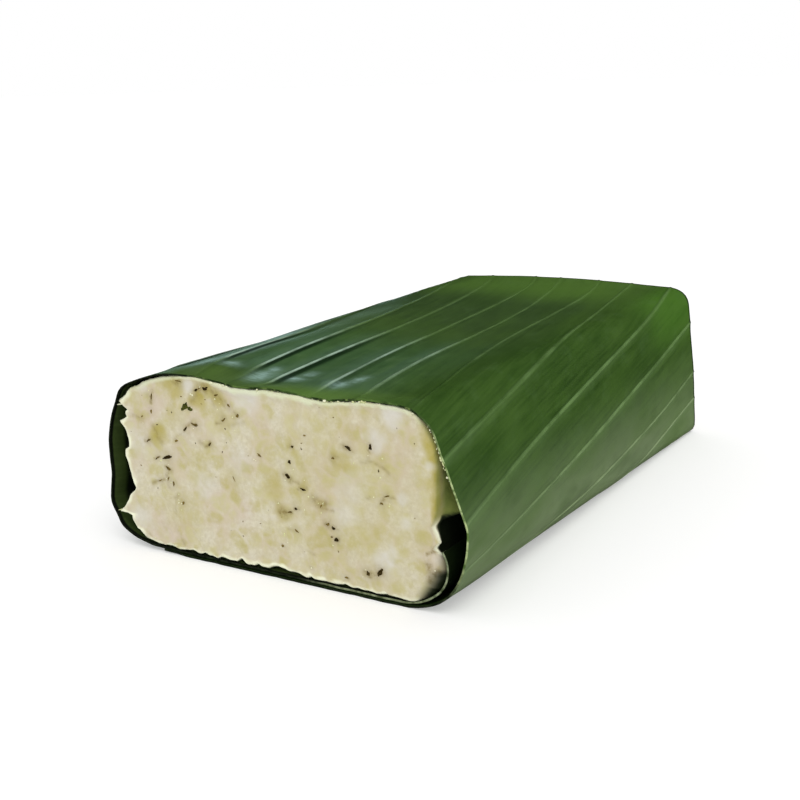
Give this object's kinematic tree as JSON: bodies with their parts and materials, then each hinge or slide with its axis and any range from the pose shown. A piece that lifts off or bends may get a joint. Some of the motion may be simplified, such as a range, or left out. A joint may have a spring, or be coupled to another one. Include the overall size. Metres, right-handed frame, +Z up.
{
  "type": "tempeh cake",
  "caption": "Block of soybeans bound by white mould, wrapped in a green banana leaf and cut open at both ends.",
  "frame": {"origin": "middle of the bounding box's bottom, on the surface that the wrapped cake lies on", "axes": "+Z up, +Y along the cake from the shown cut end to the far one, +X to the right as seen from the shown cut end"},
  "size_m": [0.1103, 0.171, 0.0503],
  "materials": {
    "tempeh": "pale cream cut face of pressed beans in white mould",
    "banana_leaf": "dark green waxy leaf with a satin sheen"
  },
  "bodies": {
    "root": {"cake": "tempeh", "leaf": "banana_leaf"}
  },
  "joints": []
}
